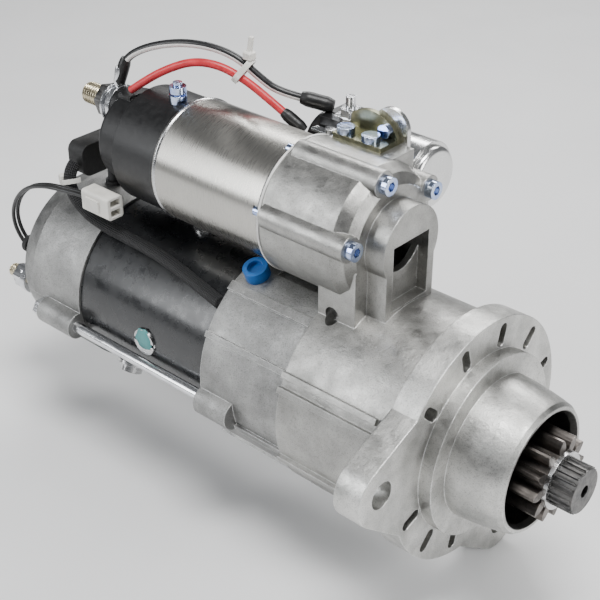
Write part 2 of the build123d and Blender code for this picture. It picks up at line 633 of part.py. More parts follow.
with BuildPart() as terminal_nuts:
    for stud, x1 in zip(STUDS, (-244.6, -246)):
        hexagon(x1 - 7, x1, 9.5, stud)
        bar(x1 - 8, x1 + 1, STUD_R, stud, Mode.SUBTRACT)
        if x1 < -245:
            continue
        tube(x1, x1 + 1.6, 11, STUD_R, stud)
        tube(-240.2, -237, 11, STUD_R, stud)
    # ring lug of the black wire, clamped between the washers
    tube(-242.9, -240.3, 9.5, STUD_R, STUDS[0])
    rod((-241.6, 0, 108), (-241.6, 0, 110.0), 1.2)
keep(terminal_nuts, "terminal_nuts")

# ---- relay beside the tower -------------------------------------------------------------
with BuildPart() as relay_can:
    bar(-100, -66, RELAY_R, RELAY_AXIS)
    fillet(relay_can.edges().filter_by(GeomType.CIRCLE).sort_by(Axis.X)[-1], 2.5)
    bar(-101, -70, 13.6, RELAY_AXIS, Mode.SUBTRACT)
    # winding inside the can
    bar(-98, -72, 13.0, RELAY_AXIS)
    bar(-99, -71, 5.3, RELAY_AXIS, Mode.SUBTRACT)
keep(relay_can, "relay_can")

with BuildPart() as relay_plunger:
    bar(-104, -78, 5.0, RELAY_AXIS)
    bar(-106, -104, 9.0, RELAY_AXIS)
keep(relay_plunger, "relay_plunger")

RELAY_POST = (-116, 42)
with BuildPart() as relay_base:
    bar(-138, -100, RELAY_BASE_R, RELAY_AXIS)
    fillet(relay_base.edges().filter_by(GeomType.CIRCLE).sort_by(Axis.X)[0], 2)
    block((-132, -101), (34, 59), (RELAY_Z, RELAY_Z + 17))
    block((-130, -112), (31.8, 40), (RELAY_Z + 3, RELAY_Z + 10.7))
    bar(-112, -99, 12, RELAY_AXIS, Mode.SUBTRACT)
    # step that carries the low side terminal
    block((-133, -116), (30, 37), (RELAY_Z + 10.7, RELAY_Z + 18), Mode.SUBTRACT)
keep(relay_base, "relay_base")

with BuildPart() as relay_terminals:
    x, y = RELAY_POST
    with Locations((x, y, RELAY_Z + 22)):
        Cylinder(2.5, 16)
    with BuildSketch(Plane.XY.offset(RELAY_Z + 19.5)):
        with Locations((x, y)):
            RegularPolygon(5.2, 6)
    extrude(amount=4.5)
    with Locations((x, y, RELAY_Z + 18.5)):
        Cylinder(5.4, 2)
    block((x - 9, x - 4), (y - 3, y + 3), (RELAY_Z + 17, RELAY_Z + 18.6))
    block((-132, -102), (33, 60), (RELAY_Z - 20, RELAY_Z + 17), Mode.SUBTRACT)
    # low side terminal for the red lead
    rod((-121, 33.4, RELAY_Z + 10.8), (-121, 33.4, RELAY_Z + 14.5), 3.2)
    block((-132.4, -117), (31, 35.8), (RELAY_Z + 10.8, RELAY_Z + 11.9))
keep(relay_terminals, "relay_terminals")

with BuildPart() as relay_bracket:
    block((-103, -74), (13, 28), (118, 120.5))
    with BuildSketch(Plane.XZ.offset(-28)):
        with BuildLine():
            Line((-103, 118), (-74, 118))
            Line((-74, 118), (-74, 121))
            ThreePointArc((-74, 121), (-87, 130.5), (-101.5, 127))
            Line((-101.5, 127), (-103, 118))
        make_face()
    extrude(amount=2.5)
    rod((-80, 24, 124), (-80, 29, 124), 2.15, Mode.SUBTRACT)
    for x in BRACKET_SCREWS_X:
        rod((x, 17, 117), (x, 17, 121), 2.15, Mode.SUBTRACT)
keep(relay_bracket, "relay_bracket")

with BuildPart() as relay_strap:
    sector(-90, -70, RELAY_R, RELAY_R + 2, 72, 86, at=RELAY_AXIS)
    block((-90, -70), (28, 30.5), (106.5, 124))
    block((-90, -70), (30, 34), (103.8, 109))
    rod((-80, 28, 124), (-80, 30.5, 124), 10)
    rod((-80, 27, 124), (-80, 31, 124), 2.15, Mode.SUBTRACT)
    bar(-91, -69, RELAY_R, RELAY_AXIS, Mode.SUBTRACT)
keep(relay_strap, "relay_strap")

with BuildPart() as small_screws:
    # brush holder screws through the rear cap
    for angle in (45, 225):
        bar(CAP_REAR_X, -259.5, 2.0, polar(angle, 33))
        bar(CAP_REAR_X - 2.4, CAP_REAR_X, 4.2, polar(angle, 33))
    # solenoid screws with hexagon sockets
    for angle in SOL_SCREW_ANGLES:
        at = polar(angle, 31, SOL_AXIS)
        bar(-112, TOWER_FRONT_X, 2.4, at)
        bar(TOWER_FRONT_X, TOWER_FRONT_X + 4, 4.4, at)
        hexagon(TOWER_FRONT_X + 1.5, TOWER_FRONT_X + 5, 2.4, at, Mode.SUBTRACT)
    # relay strap and bracket screws
    rod((-80, 24.5, 124), (-80, 31.5, 124), 2.15)
    rod((-80, 22.3, 124), (-80, 25.5, 124), 3.4)
    for x in BRACKET_SCREWS_X:
        rod((x, 17, 114.5), (x, 17, 121), 2.15)
        rod((x, 17, 120.5), (x, 17, 123.7), 4.4)
    # small terminal screw on top of the solenoid cap
    rod((-190, -4, SOL_Z + 30), (-190, -4, SOL_Z + 41), 2.4)
    rod((-190, -4, SOL_Z + 30), (-190, -4, SOL_Z + 34.5), 4.5)
    rod((-190, -4, SOL_Z + 35.5), (-190, -4, SOL_Z + 39), 4.4)
    bar(-200, -182.1, 31.0, SOL_AXIS, Mode.SUBTRACT)
keep(small_screws, "small_screws")

# ---- wiring -----------------------------------------------------------------------------
WIRE_R, SLEEVE_R = 2.1, 3.3
BLACK_ROUTE = ((-240.3, 2.5, 119), (-237.5, 4, 125.5), (-227, 7, 132.5), (-213, 11, 137.5),
               (-199, 15, 140), (-185, 19.5, 139.5), (-173, 23.5, 135.5),
               (-163, 27, 127.5), (-155, 31.5, 121), (-144, 37, 119))
RED_ROUTE = ((-224.5, -5, 113.8), (-216, -2.5, 120.5), (-206, 3, 127.5), (-193, 9.5, 133.5),
             (-180, 15.5, 133), (-168, 21, 127), (-157, 24.5, 120), (-147, 27, 113.5))
THERMO_ROUTE = ((-290, -36.5, 12), (-295.5, -37, 17), (-295.5, -39, 30), (-287, -41, 44),
                (-274, -42.5, 55), (-259, -43.6, 61.5), (-245, -42.7, 64), (-228.2, -37.8, 63))
LOOM_ROUTE = ((-250, -26.4, 71.6), (-250, -31, 68), (-246.5, -33, 58), (-240, -31, 48.8),
              (-229, -29.8, 44.4), (-214, -29.5, 43.2), (-198, -29.7, 43),
              (-182, -30.5, 42.6), (-167, -32, 41.5), (-151, -34.2, 39.6),
              (-131.2, -36.8, 37.3))
THERMO_R, LOOM_R, THERMO_GAP = 1.1, 3.5, 3.0
TIE_AT = (-169.8, 22.5, 130.7)           # where one tie holds the two wires together


def beyond(route, distance):
    """Point that carries on straight past the end of a route."""
    last, before = Vector(*route[-1]), Vector(*route[-2])
    return tuple(last + (last - before).normalized() * distance)


keep(cord("wire_black", BLACK_ROUTE, WIRE_R), "wire_black")
keep(cord("wire_red", RED_ROUTE, WIRE_R), "wire_red")
second = [(x, y + THERMO_GAP, z) for x, y, z in THERMO_ROUTE]
pair = [cord("thermostat lead", route, THERMO_R) for route in (THERMO_ROUTE, second)]
with BuildPart() as thermostat_leads:
    for lead in pair:
        add(lead.part)
keep(thermostat_leads, "thermostat_leads")
keep(cord("harness_loom", LOOM_ROUTE, LOOM_R), "harness_loom")

with BuildPart() as wire_sleeves:
    rod(BLACK_ROUTE[0], beyond(BLACK_ROUTE[::-1], 8), SLEEVE_R)
    rod(RED_ROUTE[-1], beyond(RED_ROUTE, 14), SLEEVE_R)
    rod(BLACK_ROUTE[-1], beyond(BLACK_ROUTE, 17), SLEEVE_R)
keep(wire_sleeves, "wire_sleeves")

with BuildPart() as thermostat_plug:
    block((-227.8, -207), (-41, -31), (57, 69))
    fillet(thermostat_plug.edges().filter_by(Axis.X), 1.5)
    for z in (60.2, 65.8):
        block((-216, -206), (-39.2, -32.8), (z - 1.9, z + 1.9), Mode.SUBTRACT)
    block((-224, -214), (-42, -40), (60, 66))
keep(thermostat_plug, "thermostat_plug")

with BuildPart() as cable_ties:
    way = Vector(*BLACK_ROUTE[7]) - Vector(*BLACK_ROUTE[6])
    across = Vector(*BLACK_ROUTE[6]) - Vector(*RED_ROUTE[5]) + Vector(6.6, 1.7, -4.1)
    with BuildSketch(Plane(origin=TIE_AT, x_dir=across, z_dir=way)):
        SlotOverall(15.4, 8.4)
        SlotOverall(13.2, 6.2, mode=Mode.SUBTRACT)
    extrude(amount=1.5, both=True)
    block((-170, -166), (23.5, 27.5), (137.2, 148.5))
    rod((-248.9, -31.6, 64.9), (-247.8, -32.2, 61.9), LOOM_R + 2.2)
    rod((-249.3, -31.4, 65.9), (-247.4, -32.4, 60.9), LOOM_R + 1.1, Mode.SUBTRACT)
    block((-256.6, -253.7), (-33.5, -30), (61.5, 65.5))
keep(cable_ties, "cable_ties")

with BuildPart() as motor_lead:
    # rubber boot over the motor terminal, and the lead down into the rear cap
    block((-258, -246.1), (-24, 9), (63, 81))
    fillet(motor_lead.edges().filter_by(Axis.X), 5)
    bar(-259, -245, STUD_R, STUDS[1], Mode.SUBTRACT)
    hexagon(-255, -245, 9.9, STUDS[1], Mode.SUBTRACT)
    rod((LEAD_X, LEAD_Y, 44.5), (LEAD_X, LEAD_Y, 63.4), 4.0)
keep(motor_lead, "motor_lead")

with BuildPart() as grommets:
    rod((LEAD_X, LEAD_Y, 45), (LEAD_X, LEAD_Y, 51.5), 5.4)
    rod((LEAD_X, LEAD_Y, 40), (LEAD_X, LEAD_Y, 60), 4.0, Mode.SUBTRACT)
    bar(-289, -281, 3.5, GROMMET_AT)
    bar(-289, CAP_REAR_X, 5.0, GROMMET_AT)
keep(grommets, "grommets")
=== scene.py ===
"""Looks of a heavy-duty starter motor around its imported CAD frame. Metres, the frame's axes."""
from math import cos, sin, pi, radians, tau

import bpy
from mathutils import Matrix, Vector, noise


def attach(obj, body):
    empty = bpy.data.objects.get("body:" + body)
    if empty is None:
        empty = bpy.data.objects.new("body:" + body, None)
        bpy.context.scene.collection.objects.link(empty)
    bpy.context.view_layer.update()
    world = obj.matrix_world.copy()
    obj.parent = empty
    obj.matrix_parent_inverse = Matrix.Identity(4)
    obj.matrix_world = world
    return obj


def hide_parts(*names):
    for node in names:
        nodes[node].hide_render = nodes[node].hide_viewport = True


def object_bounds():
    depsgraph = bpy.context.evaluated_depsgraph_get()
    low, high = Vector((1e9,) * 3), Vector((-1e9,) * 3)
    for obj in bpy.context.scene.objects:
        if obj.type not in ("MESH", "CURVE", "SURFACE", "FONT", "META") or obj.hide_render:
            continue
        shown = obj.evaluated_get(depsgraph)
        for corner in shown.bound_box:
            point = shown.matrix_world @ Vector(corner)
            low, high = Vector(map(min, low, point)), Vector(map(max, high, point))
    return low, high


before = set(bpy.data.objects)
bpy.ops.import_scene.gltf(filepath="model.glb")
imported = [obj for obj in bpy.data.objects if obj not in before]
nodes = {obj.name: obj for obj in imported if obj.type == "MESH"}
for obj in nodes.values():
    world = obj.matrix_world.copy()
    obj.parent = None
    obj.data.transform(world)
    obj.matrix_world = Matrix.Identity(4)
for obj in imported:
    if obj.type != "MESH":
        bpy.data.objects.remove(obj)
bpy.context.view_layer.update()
MM = 0.001


# ---- node graphs --------------------------------------------------------------------
class Look:
    """A procedural material: constants sit on the shader's own sockets."""

    def __init__(self, name, **sockets):
        self.mat = bpy.data.materials.new(name)
        self.mat.use_nodes = True
        self.tree = self.mat.node_tree
        self.shader = self.tree.nodes["Principled BSDF"]
        for socket, value in sockets.items():
            self.shader.inputs[socket.replace("_", " ")].default_value = value
        self.coords = self.add("ShaderNodeTexCoord")
        self.object = self.coords.outputs["Object"]

    def add(self, kind, links=(), **props):
        node = self.tree.nodes.new(kind)
        for key, value in props.items():
            setattr(node, key, value)
        for socket, value in dict(links).items():
            if isinstance(value, bpy.types.NodeSocket):
                self.tree.links.new(value, node.inputs[socket])
            else:
                node.inputs[socket].default_value = value
        return node

    def noise(self, scale, detail=4, rough=0.6, stretch=None, vector=None):
        """Noise with `scale` blotches per metre, drawn out by the stretch factors."""
        vector = vector or self.object
        if stretch:
            vector = self.add("ShaderNodeMapping", {"Vector": vector, "Scale": stretch}).outputs[0]
        node = self.add("ShaderNodeTexNoise", {"Vector": vector, "Scale": scale,
                                               "Detail": detail, "Roughness": rough})
        return node.outputs["Fac"]

    def math(self, kind, a, b=0.0, c=0.0):
        return self.add("ShaderNodeMath", {0: a, 1: b, 2: c}, operation=kind).outputs[0]

    def ramp(self, fac, *stops):
        """Colour or grey ramp from (place, value) pairs."""
        node = self.add("ShaderNodeValToRGB", {"Fac": fac})
        points = node.color_ramp.elements
        while len(points) < len(stops):
            points.new(0.5)
        for point, (place, value) in zip(points, stops):
            point.position = place
            value = (value,) * 3 if isinstance(value, (int, float)) else value
            point.color = (*value, 1)
        return node.outputs["Color"]

    def mix(self, fac, a, b):
        node = self.add("ShaderNodeMix", data_type="RGBA")
        for place, value in ((0, fac), (6, a), (7, b)):
            if isinstance(value, bpy.types.NodeSocket):
                self.tree.links.new(value, node.inputs[place])
            else:
                node.inputs[place].default_value = (*value, 1) if place > 0 else value
        return node.outputs[2]

    def axis(self, name):
        return self.add("ShaderNodeSeparateXYZ", {"Vector": self.object}).outputs[name]

    def radius(self, y0=0.0, z0=0.0):
        """Distance from a line parallel to X."""
        dy = self.math("SUBTRACT", self.axis("Y"), y0)
        dz = self.math("SUBTRACT", self.axis("Z"), z0)
        squares = self.math("ADD", self.math("MULTIPLY", dy, dy), self.math("MULTIPLY", dz, dz))
        return self.math("SQRT", squares)

    def edges(self, width=0.0007, most=1.0):
        """White along edges, where a rounded normal leaves the true one, broken up by wear."""
        true = self.add("ShaderNodeNewGeometry").outputs["Normal"]
        soft = self.add("ShaderNodeBevel", {"Radius": width}, samples=4).outputs[0]
        same = self.add("ShaderNodeVectorMath", {0: true, 1: soft},
                        operation="DOT_PRODUCT").outputs["Value"]
        wear = self.ramp(self.noise(300, 4, 0.7), (0.35, 0.2), (0.6, 1.0))
        return self.math("MULTIPLY", self.ramp(same, (0.86, most), (0.985, 0.0)), wear)

    def set(self, color=None, rough=None, bumps=(), bevel=None):
        if color:
            self.tree.links.new(color, self.shader.inputs["Base Color"])
        if rough:
            self.tree.links.new(rough, self.shader.inputs["Roughness"])
        normal = None
        if bevel:
            normal = self.add("ShaderNodeBevel", {"Radius": bevel}, samples=4).outputs[0]
        for height, strength, distance in bumps:
            links = {"Height": height, "Strength": strength, "Distance": distance}
            if normal:
                links["Normal"] = normal
            normal = self.add("ShaderNodeBump", links).outputs[0]
        if normal:
            self.tree.links.new(normal, self.shader.inputs["Normal"])
        return self


FLANGE_BACK_X, NOSE_BACK_X, NOSE_INSIDE_R = -0.0142, -0.03, 0.0296


def cast_metal(name, dark, light, rough=(0.30, 0.5), grain=0.35, bevel=0.0007, nose=False):
    """Cast aluminium: blotchy tone, sand grain, brighter rubbed edges. With `nose`, it is
    darker behind the flange, and painted shade makes it nearly black inside the nose."""
    look = Look(name, Metallic=1.0)
    blotch = look.noise(38, 5, 0.65)
    speck = look.noise(1500, 3, 0.7)
    tone = look.ramp(blotch, (0.32, dark), (0.50, [(a + b) / 2 for a, b in zip(dark, light)]),
                     (0.68, light))
    pits = look.ramp(speck, (0.30, 0.55), (0.48, 1.0))
    tone = look.add("ShaderNodeMix", {0: 1.0, 6: tone, 7: pits}, data_type="RGBA",
                    blend_type="MULTIPLY").outputs[2]
    tone = look.mix(look.edges(), tone, (0.90, 0.90, 0.89))
    if nose:
        behind = look.math("LESS_THAN", look.axis("X"), FLANGE_BACK_X)
        tone = look.mix(look.math("MULTIPLY", behind, 0.42), tone, (0.17, 0.165, 0.155))
        # painted shade: inside the nose the colour is mixed almost to black, standing in for the cavity's
        # shade
        inside = look.math("MULTIPLY", look.math("LESS_THAN", look.radius(), NOSE_INSIDE_R),
                           look.math("GREATER_THAN", look.axis("X"), NOSE_BACK_X))
        tone = look.mix(look.math("MULTIPLY", inside, 0.93), tone, (0.03, 0.028, 0.025))
    uneven = look.noise(120, 4, 0.6)
    roughness = look.ramp(uneven, (0.3, rough[0]), (0.7, rough[1]))
    return look.set(tone, roughness, ((look.noise(260, 4, 0.6), grain * 0.7, 0.0008),
                                      (speck, grain, 0.0003)), bevel)


def plated(name, base, rough=(0.16, 0.34), tint=None, bevel=0.0004):
    """Plated or turned steel with faint blotches and hairline scratches."""
    look = Look(name, Metallic=1.0)
    blotch = look.noise(160, 3, 0.6)
    second = tint or [c * 0.8 for c in base]
    tone = look.ramp(blotch, (0.35, second), (0.65, base))
    scratch = look.noise(700, 2, 0.5, stretch=(0.12, 1, 1))
    roughness = look.ramp(scratch, (0.3, rough[0]), (0.7, rough[1]))
    return look.set(tone, roughness, ((scratch, 0.08, 0.0002),), bevel)


def brushed(name, base, along=0.05, rough=(0.24, 0.34), strength=0.05):
    """Steel sheet with a fine grain that runs round an axis parallel to X."""
    look = Look(name, Metallic=1.0, Anisotropic=0.55)
    grain = look.noise(3200, 3, 0.7, stretch=(1, along, along))
    broad = look.noise(45, 3, 0.5)
    tone = look.ramp(look.math("ADD", look.math("MULTIPLY", grain, 0.6),
                               look.math("MULTIPLY", broad, 0.4)),
                     (0.36, [c * 0.86 for c in base]), (0.62, base))
    roughness = look.ramp(grain, (0.3, rough[0]), (0.7, rough[1]))
    return look.set(tone, roughness, ((grain, strength, 0.0002),), 0.0005)


def plastic(name, base, rough=(0.35, 0.5), grain=0.15, coat=0.0, bevel=0.0005):
    look = Look(name, Coat_Weight=coat, Coat_Roughness=0.12)
    blotch = look.noise(90, 3, 0.6)
    tone = look.ramp(blotch, (0.3, [c * 0.75 for c in base]), (0.7, base))
    tone = look.mix(look.edges(0.0005, 0.7), tone, [min(1, c * 1.4 + 0.015) for c in base])
    return look.set(tone, look.ramp(look.noise(300, 3), (0.3, rough[0]), (0.7, rough[1])),
                    ((look.noise(1800, 2), grain, 0.0002),), bevel)


def enamel():
    """Black gloss paint with orange peel, dust and a little chipping on edges."""
    look = Look("black_enamel", Coat_Weight=0.35, Coat_Roughness=0.16)
    dust = look.noise(25, 5, 0.7)
    tone = look.ramp(dust, (0.35, (0.003, 0.0035, 0.004)), (0.75, (0.012, 0.013, 0.015)))
    tone = look.mix(look.edges(0.0006, 0.5), tone, (0.12, 0.12, 0.12))
    return look.set(tone, look.ramp(look.noise(150, 3), (0.3, 0.20), (0.7, 0.38)),
                    ((look.noise(220, 2, 0.4), 0.10, 0.0006),), 0.0006)


def copper(name, base, turns=0.0):
    """Copper; with turns it shows wound wire, that many wires per metre along X."""
    look = Look(name, Metallic=1.0)
    blotch = look.noise(120, 3, 0.6)
    tone = look.ramp(blotch, (0.3, [c * 0.55 for c in base]), (0.7, base))
    bumps = [(look.noise(800, 2), 0.1, 0.0003)]
    if turns:
        wave = look.math("SINE", look.math("MULTIPLY", look.axis("X"), turns * tau))
        bumps.append((wave, 0.8, 0.0005))
    return look.set(tone, look.ramp(blotch, (0.3, 0.25), (0.7, 0.42)), bumps)


def sleeving(name, base, braid=0.0, stripe=None, rough=(0.3, 0.45)):
    """Insulation on a tube whose UV holds (length in m, share of a turn)."""
    look = Look(name)
    uv = look.coords.outputs["UV"]
    parts = look.add("ShaderNodeSeparateXYZ", {"Vector": uv})
    along, turn = parts.outputs["X"], parts.outputs["Y"]
    scuff = look.noise(220, 4, 0.6)
    tone = look.ramp(scuff, (0.3, [c * 0.7 for c in base]), (0.7, base))
    bumps = [(scuff, 0.12, 0.0004)]
    if stripe:
        band = look.math("PINGPONG", look.math("ADD", turn, stripe[0]), 0.5)
        inside = look.math("LESS_THAN", band, stripe[1])
        tone = look.mix(inside, tone, (0.80, 0.79, 0.76))
    if braid:
        left = look.math("ADD", look.math("MULTIPLY", along, braid),
                         look.math("MULTIPLY", turn, 10.0))
        right = look.math("SUBTRACT", look.math("MULTIPLY", along, braid),
                          look.math("MULTIPLY", turn, 10.0))
        weave = look.math("MULTIPLY", look.math("SINE", look.math("MULTIPLY", left, tau)),
                          look.math("SINE", look.math("MULTIPLY", right, tau)))
        tone = look.mix(look.ramp(weave, (0.2, 0.0), (0.9, 0.8)), tone,
                        [c * 3.0 + 0.02 for c in base])
        bumps.append((weave, 0.9, 0.0006))
    return look.set(tone, look.ramp(scuff, (0.3, rough[0]), (0.7, rough[1])), bumps)


LOOKS = {
    "cast": cast_metal("cast_aluminium", (0.36, 0.36, 0.345), (0.70, 0.695, 0.67), nose=True),
    "cast_grey": cast_metal("grey_cast_aluminium", (0.23, 0.23, 0.225), (0.43, 0.43, 0.42),
                            (0.38, 0.6), 0.55),
    "enamel": enamel(),
    "can": brushed("brushed_can", (0.50, 0.485, 0.45), strength=0.015),
    "relay_can": brushed("relay_can_steel", (0.80, 0.80, 0.79), rough=(0.16, 0.3)),
    "steel": plated("turned_steel", (0.66, 0.66, 0.66)),
    "gear_steel": plated("gear_steel", (0.20, 0.18, 0.165), (0.28, 0.46), (0.10, 0.092, 0.085)),
    "dark_steel": plated("dark_steel", (0.16, 0.155, 0.15), (0.3, 0.5), (0.08, 0.08, 0.08)),
    "zinc": plated("bright_zinc", (0.80, 0.81, 0.83), (0.12, 0.26)),
    "blue_zinc": plated("blue_zinc", (0.62, 0.70, 0.86), (0.10, 0.22), (0.30, 0.40, 0.72)),
    "olive_zinc": plated("olive_zinc", (0.27, 0.26, 0.17), (0.26, 0.42), (0.14, 0.145, 0.10)),
    "brass": plated("pale_brass", (0.72, 0.64, 0.46), (0.18, 0.34), (0.55, 0.48, 0.34)),
    "copper": copper("bare_copper", (0.80, 0.42, 0.26)),
    "winding": copper("wound_copper", (0.62, 0.26, 0.12), 900.0),
    "iron": plated("laminated_iron", (0.34, 0.33, 0.32), (0.4, 0.6)),
    "black_plastic": plastic("black_plastic", (0.008, 0.008, 0.0085), (0.30, 0.48), 0.25),
    "blue_plastic": plastic("blue_plastic", (0.01, 0.16, 0.55), (0.3, 0.42)),
    "white_plastic": plastic("white_nylon", (0.80, 0.78, 0.72), (0.3, 0.42)),
    "rubber": plastic("black_rubber", (0.010, 0.010, 0.010), (0.5, 0.7), 0.5),
    "carbon": plastic("carbon", (0.05, 0.048, 0.045), (0.5, 0.65), 0.4),
    "gasket": plastic("pale_gasket", (0.80, 0.79, 0.76), (0.5, 0.65)),
    "red_wire": sleeving("red_insulation", (0.62, 0.035, 0.045)),
    "black_wire": sleeving("striped_insulation", (0.012, 0.012, 0.013), stripe=(0.26, 0.085)),
    "teal_paint": plastic("teal_paint", (0.08, 0.30, 0.30), (0.35, 0.5), 0.3),
    "thin_wire": sleeving("thin_insulation", (0.02, 0.02, 0.02)),
    "loom": sleeving("braided_loom", (0.010, 0.010, 0.011), braid=420.0, rough=(0.5, 0.7)),
    "shrink": sleeving("heat_shrink", (0.007, 0.007, 0.007), rough=(0.34, 0.5)),
}

FINISH = {
    "cast": ("drive_housing", "center_bracket"),
    "cast_grey": ("gear_housing", "rear_end_cap"),
    "enamel": ("field_frame",),
    "can": ("solenoid_can",),
    "relay_can": ("relay_can", "relay_strap"),
    "steel": ("armature_shaft", "brush_holder", "brush_springs", "clutch_rollers", "lever_pin",
              "nose_bearing", "output_shaft", "partition_plate", "pinion_stop_ring",
              "planet_gear_1", "planet_gear_2", "planet_gear_3", "plunger", "pole_screws",
              "relay_plunger", "return_spring", "solenoid_core"),
    "gear_steel": ("pinion_gear", "clutch_shell"),
    "dark_steel": ("pinion_sleeve",),
    "zinc": ("through_bolts", "relay_terminals"),
    "blue_zinc": ("small_screws",),
    "olive_zinc": ("relay_bracket",),
    "copper": ("commutator", "contact_rod", "shaft_bushes"),
    "winding": ("armature_winding", "field_coils", "solenoid_coil"),
    "iron": ("armature_core", "pole_shoes"),
    "black_plastic": ("relay_base", "ring_gear", "shift_lever", "solenoid_cap"),
    "blue_plastic": ("blue_plug",),
    "white_plastic": ("thermostat_plug",),
    "rubber": ("grommets", "motor_lead", "nose_seal"),
    "carbon": ("brushes",),
    "gasket": ("solenoid_gasket",),
}
for look_name, names in FINISH.items():
    for node_name in names:
        mesh = nodes[node_name].data
        mesh.materials.clear()
        mesh.materials.append(LOOKS[look_name].mat)


# ---- mesh pieces --------------------------------------------------------------------
def piece(name, verts, faces, look, body="housing", uvs=None, sharp=35, stands_for=(), slot=None):
    mesh = bpy.data.meshes.new(name)
    mesh.from_pydata(verts, [], faces)
    mesh.polygons.foreach_set("use_smooth", [True] * len(mesh.polygons))
    if uvs:
        layer = mesh.uv_layers.new(name="UVMap")
        for loop in mesh.loops:
            layer.data[loop.index].uv = uvs[loop.vertex_index]
    mesh.update()
    mesh.set_sharp_from_angle(angle=radians(sharp))
    mesh.materials.append(LOOKS[look].mat)
    made = bpy.data.objects.new(name, mesh)
    bpy.context.scene.collection.objects.link(made)
    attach(made, body)
    if stands_for:
        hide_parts(*stands_for)
    return made


def turned(profile, origin, axis, segments=64, shape=None, start=(0, 0, 1)):
    """Vertices and faces of a closed turned solid from (place along axis, radius) pairs;
    shape(place, angle, radius) may change each radius."""
    axis = Vector(axis).normalized()
    side = Vector(start) - axis * axis.dot(Vector(start))
    if side.length < 1e-6:
        side = axis.orthogonal()
    side.normalize()
    other = axis.cross(side)
    origin = Vector(origin)
    verts, faces = [], []
    for place, r in profile:
        for k in range(segments):
            a = tau * k / segments
            rr = shape(place, a, r) if shape else r
            verts.append(origin + axis * place + (side * cos(a) + other * sin(a)) * rr)
    rows = len(profile)
    for i in range(rows - 1):
        for k in range(segments):
            n = (k + 1) % segments
            faces.append((i * segments + k, (i + 1) * segments + k,
                          (i + 1) * segments + n, i * segments + n))
    faces.append(tuple(range(segments)))
    faces.append(tuple((rows - 1) * segments + k for k in reversed(range(segments))))
    return verts, faces


def ring(profile, origin, axis, segments=64):
    """Vertices and faces of a ring whose closed section is the profile."""
    verts, faces = turned(profile, origin, axis, segments)
    faces = faces[:-2]
    rows = len(profile)
    for k in range(segments):
        n = (k + 1) % segments
        faces.append(((rows - 1) * segments + k, k, n, (rows - 1) * segments + n))
    return verts, faces


def join(*solids):
    verts, faces = [], []
    for v, f in solids:
        base = len(verts)
        verts += v
        faces += [tuple(base + i for i in face) for face in f]
    return verts, faces


def hex_shape(corner, turn=0.0):
    """Hexagon of that corner radius; the turned profile cuts its chamfers."""
    flat = corner * cos(pi / 6)

    def shape(place, angle, r):
        a = (angle + turn) % (pi / 3) - pi / 6
        return min(r, flat / cos(a))
    return shape


def hex_nut(x0, x1, corner, origin, axis, turn=0.0):
    chamfer = corner * 0.10
    flat = corner * cos(pi / 6)
    profile = [(x0, flat * 0.96), (x0 + chamfer * 0.55, corner), (x1 - chamfer * 0.55, corner),
               (x1, flat * 0.96)]
    return turned(profile, origin, axis, 72, hex_shape(corner, turn))


def thread(x0, x1, r, pitch, origin, axis, depth=0.55, point=1.0):
    """Threaded rod with a true helix; its far end is chamfered."""
    steps = max(8, int((x1 - x0) / pitch * 8))
    profile = [(x0 + (x1 - x0) * i / steps, r) for i in range(steps + 1)]
    root = pitch * depth

    def shape(place, angle, radius):
        phase = (place / pitch - angle / tau) % 1.0
        groove = root * max(0.0, abs(phase - 0.5) * 2 - 0.15) / 0.85
        tip = max(0.0, point - (x1 - place)) * 0.9
        return max(radius - max(groove, tip), r * 0.3)
    return turned(profile, origin, axis, 40, shape)


def spine(route):
    """Points of the smooth line that has the route's points as control points."""
    curve = bpy.data.curves.new("line", "CURVE")
    curve.dimensions = "3D"
    line = curve.splines.new("NURBS")
    line.points.add(len(route) - 1)
    for point, at in zip(line.points, route):
        point.co = (*(c * MM for c in at), 1)
    line.order_u = 3
    line.use_endpoint_u = True
    line.resolution_u = 10
    holder = bpy.data.objects.new("line", curve)
    bpy.context.scene.collection.objects.link(holder)
    bpy.context.view_layer.update()
    mesh = bpy.data.meshes.new_from_object(holder)
    points = [v.co.copy() for v in mesh.vertices]
    bpy.data.objects.remove(holder)
    return points


def tube(points, r, segments=24, shape=None):
    """Vertices, faces and UVs of a capped tube; UV is (length in m, share of a turn)."""
    verts, faces, uvs = [], [], []
    side, travelled = None, 0.0
    for i, point in enumerate(points):
        way = (points[min(i + 1, len(points) - 1)] - points[max(i - 1, 0)]).normalized()
        side = way.orthogonal() if side is None else side - way * way.dot(side)
        side.normalize()
        other = way.cross(side)
        travelled += (point - points[i - 1]).length if i else 0.0
        for k in range(segments + 1):
            a = tau * k / segments
            rr = shape(travelled, a, r) if shape else r
            verts.append(point + (side * cos(a) + other * sin(a)) * rr)
            uvs.append((travelled, k / segments))
    row = segments + 1
    for i in range(len(points) - 1):
        for k in range(segments):
            faces.append((i * row + k, i * row + k + 1, (i + 1) * row + k + 1, (i + 1) * row + k))
    faces.append(tuple(reversed(range(segments))))
    faces.append(tuple((len(points) - 1) * row + k for k in range(segments)))
    return verts, faces, uvs


def lead(name, route, r, look, slot, stands_for=(), shape=None):
    verts, faces, uvs = tube(spine(route), r * MM, shape=shape)
    return piece(name, verts, faces, look, uvs=uvs, sharp=60, stands_for=stands_for, slot=slot)


